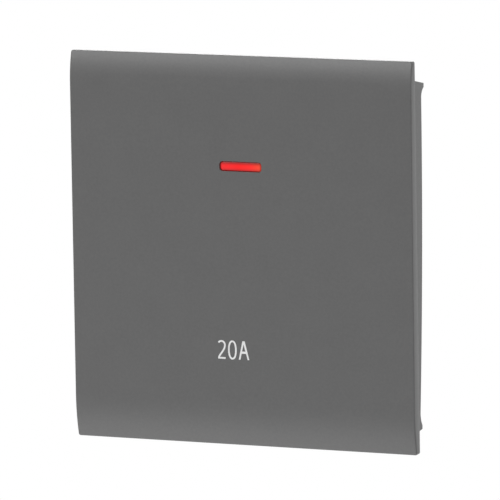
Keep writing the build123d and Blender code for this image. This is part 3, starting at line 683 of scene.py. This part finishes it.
def offset_edges(path, width):
    """The two edges of a stroke: the path moved sideways by half the width each way."""
    run = np.gradient(path, axis=0)
    run /= np.linalg.norm(run, axis=1, keepdims=True)
    side = np.stack([-run[:, 1], run[:, 0]], -1) * width / 2
    return path + side, path - side


def rating_grids(mark, front):
    """The strokes of a current rating, as thin strips that share edges and don't overlap.

    Their points are in units of the cap height, from the left end of the base line.
    """
    top, back = front - mark.film, front + mark.film / 2
    cap, w = mark.cap, mark.stroke / mark.cap
    grids = []

    def stroke(left, right, closed=False):
        edges = [np.stack([mark.left + e[:, 0] * cap, mark.base + e[:, 1] * cap], -1)
                 for e in (left, right)]
        grids.append((ribbon(*edges, top, back), closed, True))

    # Two: a hook over the top that runs down to a flat foot.
    foot = 0.428
    path = smooth_path([(0.028, 0.868), (0.114, 0.95), (0.284, 0.953), (0.402, 0.83),
                        (0.388, 0.61), (0.265, 0.40), (0.095, 0.19), (0.052, w)], 9)
    left, right = offset_edges(path, w)
    left[-1, 1] = right[-1, 1] = w
    stroke(left, right)
    stroke(np.array([[0.0, 0.0], [foot, 0.0]]), np.array([[0.0, w], [foot, w]]))
    # Nought: the band between two tall rounded ovals.
    middle, half_width, half_height, squareness, inner_squareness = 0.8235, 0.249, 0.513, 2.25, 2.15
    angle = np.linspace(0, ROUND, 64, endpoint=False)

    def oval(inset, power):
        c, s = np.cos(angle), np.sin(angle)
        x = middle + (half_width - inset) * np.sign(c) * np.abs(c) ** (2 / power)
        z = 0.5 + (half_height - inset) * np.sign(s) * np.abs(s) ** (2 / power)
        return np.stack([x, z], -1)

    stroke(oval(0, squareness), oval(w, inner_squareness), True)
    # Letter: two legs that meet on a flat top, and a bar between them.
    apex, half_top, foot_left, foot_right = 1.466, 0.0656, 1.180, 1.787
    leg, crotch, bar_low, bar_high = w * 1.03, 1 - 0.17, 0.326, 0.444
    rows = np.array([0, bar_low, bar_high, crotch, 1.0])
    outer_left = foot_left + (apex - half_top - foot_left) * rows
    outer_right = foot_right + (apex + half_top - foot_right) * rows
    inner_left = np.minimum(foot_left + leg + (apex - foot_left - leg) * rows / crotch, apex)
    inner_right = np.maximum(foot_right - leg + (apex - foot_right + leg) * rows / crotch, apex)
    for left, right in ((outer_left, inner_left), (inner_right, outer_right)):
        stroke(np.stack([left, rows], -1), np.stack([right, rows], -1))
    low, high = 1, 3
    stroke(np.stack([inner_left, rows], -1)[low:high], np.stack([inner_right, rows], -1)[low:high])
    return grids


class SWITCH_OT_rating(bpy.types.Operator):
    """Builds the current rating, printed on the face in pale ink"""

    bl_idname = "switch.rating"
    bl_label = "Build Printed Rating"

    def execute(self, context):
        cover, mark = context.scene.switch_cover, context.scene.switch_mark
        # White ink, pad printed: a flat, slightly open white film.
        ink = moulded("White ink, pad printed", tuple(mark.colour), 0.55, 0.15 * MM, 0.002 * MM,
                      mottle=0.02)
        grids = [(turned(g, cover), a, b) for g, a, b in rating_grids(mark, cover.front)]
        place("printed_rating", grids, ink, "rocker")
        return {"FINISHED"}


# Finishes of the pieces that keep their own shape, and the springs

def dress(material, *nodes):
    """Gives a material to CAD nodes in place of their plain one."""
    for name in nodes:
        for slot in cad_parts[name].material_slots:
            slot.material = material


def coil_grid(spring, x):
    """A round wire carried along a helix about a line along Y: rings at even turns along it.

    Each ring's two axes are the helix's outward direction and that crossed with the wire's run.
    """
    steps_a_turn, sides = 28, 12
    angle = np.linspace(0, ROUND * spring.turns, steps_a_turn * spring.turns + 1)[:, None]
    rise = spring.height / (ROUND * spring.turns)
    zero = np.zeros_like(angle)
    outward = np.concatenate([np.cos(angle), zero, -np.sin(angle)], 1)
    run = np.concatenate([-spring.radius * np.sin(angle), rise + zero,
                          -spring.radius * np.cos(angle)], 1)
    across = np.cross(run / np.linalg.norm(run, axis=1, keepdims=True), outward)
    line = np.array([x, spring.start, 0.0]) + np.concatenate([zero, rise * angle, zero], 1)
    middle = line + spring.radius * outward
    wire = np.linspace(0, ROUND, sides, endpoint=False)[None, :, None]
    section = np.cos(wire) * outward[:, None] + np.sin(wire) * across[:, None]
    return middle[:, None] + spring.wire * section


class SWITCH_OT_springs(bpy.types.Operator):
    """Builds the two plunger springs and dresses the pin"""

    bl_idname = "switch.springs"
    bl_label = "Build Plunger Springs"

    def execute(self, context):
        spring = context.scene.switch_spring
        # Spring steel, drawn: dark and bright, with hardly any pattern.
        steel = metal("Spring steel, drawn", linear("#9C9DA0"), linear("#85827C"), 0.3, 0.15 * MM,
                      0.001 * MM, corner=0.05 * MM)
        dress(steel, "drive_pin")
        full = spring.height + 2 * spring.wire
        seat, far = (turned(np.array([0.0, y, 0.0]), spring)
                     for y in (spring.start - spring.wire, spring.start - spring.wire + full))
        for pole, x in (("line", -spring.pole), ("neutral", spring.pole)):
            coil = turned(coil_grid(spring, x), spring)
            piece = place(f"spring_{pole}", [(coil, False, True)], steel, "actuator",
                          [f"plunger_spring_{pole}"], smooth_angle=60.0)
            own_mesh(piece)
        return {"FINISHED"}


class SWITCH_OT_finishes(bpy.types.Operator):
    """Gives the frame, yoke, mechanism and terminals their finishes"""

    bl_idname = "switch.finishes"
    bl_label = "Apply Finishes"

    def execute(self, context):
        cover = context.scene.switch_cover
        # Grey ABS, moulded: the same dry, silky grey as the cover, with softly rounded corners.
        dress(moulded("Grey ABS, moulded", tuple(cover.colour), **GREY_GRAIN, corner=0.25 * MM),
              "surround_frame")
        # White acetal, moulded: a slippery, faintly waxy white that light enters a little.
        dress(moulded("White acetal, moulded", linear("#E4E3DD"), 0.33, 0.3 * MM, 0.002 * MM,
                      mottle=0.02, scatter=0.1, corner=0.2 * MM, ior=1.48),
              "rocker_carrier", "contact_actuator")
        # Light grey polycarbonate, moulded: a hard, even sheen with faint flow patches.
        dress(moulded("Light grey polycarbonate, moulded", linear("#C6C7C8"), 0.4, 0.25 * MM,
                      0.003 * MM, corner=0.25 * MM, ior=1.58), "mechanism_front")
        # Ivory urea, compression moulded: warm off-white, a little speckled, hard and shiny.
        dress(moulded("Ivory urea, compression moulded", linear("#DAD5C6"), 0.34, 0.35 * MM,
                      0.004 * MM, mottle=0.04, corner=0.3 * MM, ior=1.56), "mechanism_housing")
        # White nylon, moulded: soft and milky.
        dress(moulded("White nylon, moulded", linear("#E6E3D8"), 0.36, 0.3 * MM, 0.002 * MM,
                      mottle=0.02, scatter=0.2, corner=0.1 * MM, ior=1.53),
              "plunger_line", "plunger_neutral")
        # Mild steel, pressed and zinc plated: cool silver with a faint straw tint, rolled along X.
        dress(metal("Mild steel, pressed and zinc plated", linear("#C9CCD0"), linear("#BFBDB0"),
                    0.36, 0.25 * MM, 0.003 * MM, stretch=(0.12, 1, 1), corner=0.2 * MM),
              "mounting_yoke")
        # Steel screws, turned and zinc plated: brighter, with fine marks left by turning.
        dress(metal("Steel screws, turned and zinc plated", linear("#CDD0D2"), linear("#B8B6AC"),
                    0.3, 0.2 * MM, 0.002 * MM, stretch=(1, 0.2, 1)),
              "housing_screws", "terminal_screws", "earth_screw")
        # Brass, extruded and sawn: warm yellow, drawn lengthwise and a little tarnished in patches.
        dress(metal("Brass, extruded and sawn", linear("#DCC584"), linear("#BC9C60"), 0.34,
                    0.3 * MM, 0.003 * MM, stretch=(1, 1, 0.1), corner=0.2 * MM),
              "terminal_line_in", "terminal_line_out", "terminal_neutral_in",
              "terminal_neutral_out", "earth_terminal")
        # Brass strip, rolled and blanked: smoother and paler than the sawn blocks.
        dress(metal("Brass strip, rolled and blanked", linear("#E4CF94"), linear("#CDB077"), 0.26,
                    0.2 * MM, 0.002 * MM, stretch=(1, 1, 0.08)),
              "supply_contact_line", "supply_contact_neutral", "load_contact_line",
              "load_contact_neutral", "moving_contact_line", "moving_contact_neutral")
        # Fine silver, headed: white metal with a soft grey bloom.
        dress(metal("Fine silver, headed", linear("#E8E7E2"), linear("#C9C4B6"), 0.22, 0.3 * MM,
                    0.001 * MM), "load_contact_tips", "moving_tip_line", "moving_tip_neutral")
        # Glass epoxy board, etched: green over a mottled glass cloth.
        dress(moulded("Glass epoxy board, etched", linear("#3F6B3C"), 0.35, 0.4 * MM, 0.01 * MM,
                      mottle=0.15, ior=1.55), "indicator_board")
        # Red epoxy lamp, cast: glossy and deep red.
        dress(moulded("Red epoxy lamp, cast", linear("#B81A16"), 0.12, 0.5 * MM, 0.0005 * MM,
                      mottle=0.02, scatter=0.3, ior=1.54), "indicator_led")
        # Clear acrylic, moulded: it bends what lies behind it, with polished faces.
        clear = moulded("Clear acrylic, moulded", linear("#F2F4F4"), 0.08, 0.5 * MM, 0.0005 * MM,
                        mottle=0.0, ior=1.49)
        shader = clear.node_tree.nodes["Principled BSDF"]
        shader.inputs["Transmission Weight"].default_value = 0.9
        dress(clear, "light_guide")
        # Resistor, dipped and banded: a sandy matt body with four colour rings.
        sandy = "#C9B48A"
        body = moulded("Resistor body, dipped and banded", linear(sandy), 0.45, 0.3 * MM,
                       0.004 * MM)
        rings = [(0.0, sandy), (0.31, "#7A3A1E"), (0.37, sandy), (0.43, "#1E1E1E"), (0.49, sandy),
                 (0.55, "#C8641E"), (0.61, sandy), (0.67, "#B8933A"), (0.73, sandy)]
        dress(banded(body, "dropper_resistor", rings), "dropper_resistor")
        # Diode, moulded: near black epoxy with a silver ring at one end.
        black = "#232323"
        body = moulded("Diode body, moulded and ringed", linear(black), 0.4, 0.3 * MM, 0.002 * MM)
        rings = [(0.0, black), (0.62, "#BFC0C0"), (0.7, black)]
        dress(banded(body, "blocking_diode", rings), "blocking_diode")
        # Wire sleeves, extruded PVC: red to the line side and black to the neutral side.
        red = "#A3241F"
        sleeve = moulded("PVC wire sleeves, extruded", linear(red), 0.38, 0.4 * MM, 0.003 * MM,
                         ior=1.53)
        dress(banded(sleeve, "indicator_leads", [(0.0, red), (0.5, "#262628")]), "indicator_leads")
        return {"FINISHED"}


# Studio

def towards(azimuth, elevation):
    """A unit vector from the switch: azimuth 0 is straight out from the face, 90 degrees right."""
    level = math.cos(elevation)
    return Vector((math.sin(azimuth) * level, -math.cos(azimuth) * level, math.sin(elevation)))


def panel_light(name, power, size, azimuth, elevation, distance):
    """A soft square panel that faces the switch, from angles in degrees round and above it."""
    data = bpy.data.lights.new(name, "AREA")
    data.energy, data.size = power, size
    lamp = bpy.data.objects.new(name, data)
    bpy.context.scene.collection.objects.link(lamp)
    out = towards(math.radians(azimuth), math.radians(elevation))
    lamp.location = out * distance
    lamp.rotation_mode = "QUATERNION"
    lamp.rotation_quaternion = (-out).to_track_quat("-Z", "Y")
    lamp.visible_camera = False


def background_rays(tree, away=None):
    """A socket that is 1 for the rays that show the background: camera, mirror and glass.

    Away is a socket that takes its share of the camera's own rays.
    """
    rays = add_node(tree, "ShaderNodeLightPath").outputs
    seen = rays["Is Camera Ray"]
    if away is not None:
        seen = add_node(tree, "ShaderNodeMath", links={0: seen, 1: away},
                        operation="MULTIPLY").outputs[0]
    for kind in ("Is Glossy Ray", "Is Transmission Ray"):
        seen = add_node(tree, "ShaderNodeMath", links={0: seen, 1: rays[kind]},
                        operation="MAXIMUM").outputs[0]
    return seen


class SWITCH_OT_stage(bpy.types.Operator):
    """Builds the floor, the soft lights, the white surroundings and the camera"""

    bl_idname = "switch.stage"
    bl_label = "Build Stage"

    def execute(self, context):
        scene, stage = context.scene, context.scene.switch_stage
        # Floor: a sheet that curls up into a wall behind, one profile carried across.
        reach, wall, curl, height = 4.0, 3.5, 1.0, 3.5
        turn = np.linspace(0, QUARTER, 25)
        y = np.concatenate([[-reach], wall - curl + curl * np.sin(turn), [wall]])
        z = np.concatenate([[0.0], curl - curl * np.cos(turn), [height]]) + stage.floor
        across = np.array([-reach, reach])
        grid = np.stack([np.broadcast_to(v, (len(y), 2)) for v in (across, y[:, None], z[:, None])],
                        -1)
        floor = bpy.data.meshes.new("studio_floor")
        floor.from_pydata(grid.reshape(-1, 3).tolist(), [],
                          grid_faces(len(y), 2, False, False).tolist())
        floor.shade_smooth()
        # White paper, matt: it holds the shadow near the switch and turns pure white further out.
        near, far = 1.2, 2.4
        paper = bpy.data.materials.new("White paper, matt")
        paper.use_nodes = True
        tree = paper.node_tree
        tree.nodes.clear()
        matt = add_node(tree, "ShaderNodeBsdfDiffuse", {"Color": linear("#F2F2F2")})
        white = add_node(tree, "ShaderNodeEmission", {"Color": linear("#FFFFFF"), "Strength": 1.0})
        spot = add_node(tree, "ShaderNodeTexCoord").outputs["Object"]
        level = add_node(tree, "ShaderNodeMapping", {"Scale": (1, 1, 0)}, {"Vector": spot})
        length = add_node(tree, "ShaderNodeVectorMath", links={0: level.outputs[0]},
                          operation="LENGTH")
        away = add_node(tree, "ShaderNodeMapRange", {1: near, 2: far},
                        {0: length.outputs["Value"]}, interpolation_type="SMOOTHSTEP")
        mixed = add_node(tree, "ShaderNodeMixShader",
                         links={0: background_rays(tree, away.outputs[0]), 1: matt.outputs[0],
                                2: white.outputs[0]})
        add_node(tree, "ShaderNodeOutputMaterial", links={"Surface": mixed.outputs[0]})
        floor.materials.append(paper)
        sheet = bpy.data.objects.new("studio_floor", floor)
        scene.collection.objects.link(sheet)
        # Surroundings: white where they are seen or mirrored, and a softer grey as light.
        world = bpy.data.worlds.new("White studio")
        scene.world = world
        world.use_nodes = True
        tree = world.node_tree
        tree.nodes.clear()
        level = add_node(tree, "ShaderNodeMapRange", {3: stage.world, 4: 1.0},
                         {0: background_rays(tree)})
        sky = add_node(tree, "ShaderNodeBackground", {"Color": linear("#FFFFFF")},
                       {"Strength": level.outputs[0]})
        add_node(tree, "ShaderNodeOutputWorld", links={"Surface": sky.outputs[0]})
        # Lights: the key shows the upper roll, the low panel the lower one and the side the edge.
        for name, spread in PANELS.items():
            panel_light(f"{name}_panel", getattr(stage, name), *spread)
        # Camera: it aims this many pixels right of and above the face's centre.
        aim_right, aim_up = 9.08, 2.19
        cover = scene.switch_cover
        face = turned(np.array([0.0, cover.front, 0.0]), cover)
        back = towards(stage.azimuth, stage.elevation)
        data = bpy.data.cameras.new("camera")
        data.sensor_width, data.lens = SENSOR, stage.lens
        data.clip_start, data.clip_end = 0.05, 30.0
        camera = bpy.data.objects.new("camera", data)
        scene.collection.objects.link(camera)
        camera.location = Vector(face) + back * stage.distance
        level_turn = (-back).to_track_quat("-Z", "Y")
        pixels = stage.lens / SENSOR * PICTURE
        aim = level_turn @ Vector((aim_right / pixels, aim_up / pixels, -1.0))
        camera.rotation_mode = "QUATERNION"
        camera.rotation_quaternion = aim.to_track_quat("-Z", "Y")
        scene.camera = camera
        scene.view_settings.view_transform = "Standard"
        return {"FINISHED"}


class SWITCH_PT_panel(bpy.types.Panel):
    """Lists the sizes and colours, and the steps that build the switch"""

    bl_idname = "SWITCH_PT_panel"
    bl_label = "Heater Switch"
    bl_space_type = "VIEW_3D"
    bl_region_type = "UI"
    bl_category = "Heater Switch"

    def draw(self, context):
        for name, kind in SETTINGS.items():
            box = self.layout.box()
            for field in kind.__annotations__:
                box.prop(getattr(context.scene, name), field)
        for kind in OPERATORS:
            self.layout.operator(kind.bl_idname)


OPERATORS = (SWITCH_OT_cover, SWITCH_OT_lens, SWITCH_OT_rating, SWITCH_OT_springs,
             SWITCH_OT_finishes, SWITCH_OT_stage)
SETTINGS = {"switch_cover": CoverSettings, "switch_window": WindowSettings,
            "switch_mark": MarkSettings, "switch_spring": SpringSettings,
            "switch_stage": StageSettings}


def register():
    for kind in (*SETTINGS.values(), *OPERATORS, SWITCH_PT_panel):
        bpy.utils.register_class(kind)
    for name, kind in SETTINGS.items():
        setattr(bpy.types.Scene, name, PointerProperty(type=kind))


def unregister():
    for name in SETTINGS:
        delattr(bpy.types.Scene, name)
    for kind in (SWITCH_PT_panel, *reversed(OPERATORS), *reversed(SETTINGS.values())):
        bpy.utils.unregister_class(kind)


def main():
    register()
    bpy.ops.switch.cover()
    bpy.ops.switch.lens()
    bpy.ops.switch.rating()
    bpy.ops.switch.springs()
    bpy.ops.switch.finishes()
    bpy.ops.switch.stage()


if __name__ == "__main__":
    main()
